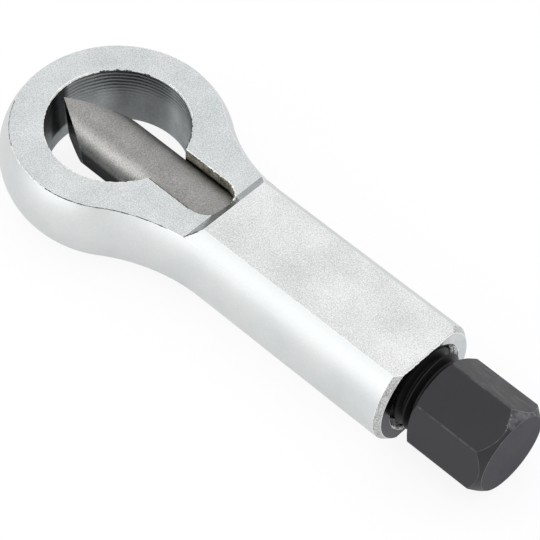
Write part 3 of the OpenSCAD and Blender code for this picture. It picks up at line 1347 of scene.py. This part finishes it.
        profile = ((self.spigot_x, 0.0), (self.spigot_x, self.spigot_r),
                   (self.groove_front, self.spigot_r), (self.groove_front, self.groove_r),
                   (self.groove_back, self.groove_r), (self.groove_back, self.spigot_r),
                   (self.shoulder_x, self.spigot_r))
        spigot = lofted([lambda a, p=p: p for p in profile], even_angles(ROUND_STEPS))
        mesh = bpy.data.meshes.new("spigot")
        spigot.to_mesh(mesh)
        spigot.free()
        bm = helix.build(trim)
        bm.from_mesh(mesh)
        bpy.data.meshes.remove(mesh)
        shade_by_angle(bm, THREAD_SMOOTH)
        return put_piece("threaded_shank", bm, (SHADED_THREAD_OXIDE,), Body.SCREW)

    def build(self, helix: Helix) -> tuple[bpy.types.Object, bpy.types.Object]:
        """Builds the whole screw.

        Args:
            helix: Winding of its thread.

        Returns:
            The head and the shank.
        """
        head = self.build_head()
        shank = self.build_shank(helix)
        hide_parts("forcing_screw")
        return head, shank


@dataclass
class InnerPieces:
    """Ball and pins inside the handle, shown as their solids."""

    ball: str = "thrust_ball"
    pins: tuple[str, ...] = ("left_retaining_pin", "right_retaining_pin", "guide_pin")

    def dress(self) -> list[str]:
        """Gives each inner solid its finish.

        Returns:
            The names of the solids.
        """
        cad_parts[self.ball].material_slots[0].material = FINISHES.get(BALL_STEEL)
        for pin in self.pins:
            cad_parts[pin].material_slots[0].material = FINISHES.get(DOWEL_STEEL)
        return [self.ball, *self.pins]


@dataclass(frozen=True)
class SoftScreen:
    """Square lamp screen that looks at the handle; places and sizes are in metres."""

    name: str
    place: tuple[float, float, float]
    size: float
    power_w: float
    target: tuple[float, float, float] = (0.035, 0.0, 0.0)

    def build(self) -> bpy.types.Object:
        """Builds the lamp.

        Returns:
            The lamp.
        """
        light = bpy.data.lights.new(self.name, "AREA")
        light.size = self.size
        light.energy = self.power_w
        lamp = bpy.data.objects.new(self.name, light)
        lamp.location = self.place
        aim = Vector(self.target) - Vector(self.place)
        lamp.rotation_euler = aim.to_track_quat("-Z", "Y").to_euler()
        bpy.context.scene.collection.objects.link(lamp)
        return lamp


@dataclass
class Studio:
    """White table, soft light and the camera.

    The shares say how much of the table's white the camera and the metal see, beside its lit card.
    """

    floor_z: float = -9.75
    floor_half_m: float = 2.0
    card: str = "#fafafa"
    white: str = "#ffffff"
    white_share: float = 0.87
    mirrored_share: float = 0.5
    room_heights: tuple[float, float] = (-0.1, 0.9)
    room_levels: tuple[float, float] = (0.79, 1.04)
    camera_at: tuple[float, float, float] = (0.24189, -0.23251, 0.3903)
    camera_right: tuple[float, float, float] = (0.72309, 0.68978, 0.03681)
    camera_up: tuple[float, float, float] = (-0.55918, 0.55324, 0.61745)
    lens_mm: float = 180.0
    sensor_mm: float = 36.0
    nearest_m: float = 0.01
    screens: tuple[SoftScreen, ...] = (
        SoftScreen("overhead_screen", place=(0.05, 0.05, 0.75), size=0.9, power_w=0.63),
        SoftScreen("side_screen", place=(-0.2, -0.8, 0.25), size=0.7, power_w=1.6))

    def build_floor(self) -> bpy.types.Object:
        """Builds the white table top, which keeps a faint shadow.

        Returns:
            The table top.
        """
        bm = bmesh.new()
        bmesh.ops.create_grid(bm, x_segments=1, y_segments=1, size=self.floor_half_m)
        mesh = bpy.data.meshes.new("table")
        bm.to_mesh(mesh)
        bm.free()
        floor = bpy.data.objects.new("table", mesh)
        floor.location.z = self.floor_z * MM
        bpy.context.scene.collection.objects.link(floor)
        mesh.materials.append(self.table_finish())
        return floor

    def table_finish(self) -> bpy.types.Material:
        """Makes the table's material: it looks nearly white, and lights the tool as matt card does.

        Returns:
            The material.
        """
        material = bpy.data.materials.new("matt_white_table")
        material.use_nodes = True
        tree = material.node_tree
        tree.nodes.clear()
        path = add_node(tree, "ShaderNodeLightPath").outputs
        shares = {"Is Camera Ray": self.white_share, "Is Glossy Ray": self.mirrored_share,
                  "Is Transmission Ray": self.white_share}
        parts = []
        for ray, share in shares.items():
            part = add_node(tree, "ShaderNodeMath", {"operation": "MULTIPLY", 1: share}, {0: path[ray]})
            parts.append(part.outputs[0])
        white = parts[0]
        for part in parts[1:]:
            most = add_node(tree, "ShaderNodeMath", {"operation": "MAXIMUM"}, {0: white, 1: part})
            white = most.outputs[0]
        glow = add_node(tree, "ShaderNodeEmission", {"Color": linear(self.white), "Strength": 1.0})
        matt = add_node(tree, "ShaderNodeBsdfDiffuse", {"Color": linear(self.card)})
        both = add_node(tree, "ShaderNodeMixShader", {},
                        {0: white, 1: matt.outputs["BSDF"], 2: glow.outputs["Emission"]})
        add_node(tree, "ShaderNodeOutputMaterial", {}, {"Surface": both.outputs["Shader"]})
        return material

    def build_world(self) -> bpy.types.World:
        """Builds the pale room that surrounds the table.

        Returns:
            The world.
        """
        world = bpy.data.worlds.new("white_tent")
        world.use_nodes = True
        tree = world.node_tree
        tree.nodes.clear()
        place = add_node(tree, "ShaderNodeTexCoord").outputs["Generated"]
        height = add_node(tree, "ShaderNodeSeparateXYZ", {}, {0: place}).outputs["Z"]
        low, high = self.room_heights
        tone = add_node(tree, "ShaderNodeMapRange",
                        {"From Min": low, "From Max": high, "To Min": self.room_levels[0],
                         "To Max": self.room_levels[1]}, {"Value": height})
        glow = add_node(tree, "ShaderNodeBackground", {"Color": linear(self.white)},
                        {"Strength": tone.outputs["Result"]})
        add_node(tree, "ShaderNodeOutputWorld", {}, {"Surface": glow.outputs["Background"]})
        bpy.context.scene.world = world
        return world

    def build_camera(self) -> bpy.types.Object:
        """Builds the camera at the photograph's viewpoint.

        Returns:
            The camera.
        """
        data = bpy.data.cameras.new("camera")
        data.lens = self.lens_mm
        data.sensor_width = self.sensor_mm
        data.clip_start = self.nearest_m
        camera = bpy.data.objects.new("camera", data)
        right = Vector(self.camera_right).normalized()
        up = Vector(self.camera_up)
        up = (up - right * up.dot(right)).normalized()
        turn = Matrix((right, up, right.cross(up))).transposed()
        camera.matrix_world = Matrix.Translation(self.camera_at) @ turn.to_4x4()
        bpy.context.scene.collection.objects.link(camera)
        bpy.context.scene.camera = camera
        return camera

    def build(self) -> None:
        """Builds the table, the lamps, the room and the camera."""
        self.build_camera()
        self.build_floor()
        self.build_world()
        for screen in self.screens:
            screen.build()
        bpy.context.scene.view_settings.view_transform = "Standard"


def main() -> None:
    """Builds the pieces in order and reports each one."""
    logging.basicConfig(level=logging.INFO, format="%(name)s: %(message)s")
    form = ThreadForm()
    forging, cutter, screw = ForgedFrame(), ChiselCutter(), ForcingScrew()
    LOG.info("forging: %s", forging.build().name)
    LOG.info("edges: %s", [line.name for line in forging.build_edges()])
    LOG.info("thread: %s", forging.build_thread(form.nut(forging.handle_end)).name)
    LOG.info("cutter: %s", cutter.build().name)
    LOG.info("screw: %s", [piece.name for piece in screw.build(form.screw(screw.head_x))])
    LOG.info("inner pieces: %s", InnerPieces().dress())
    Studio().build()


if __name__ == "__main__":
    main()
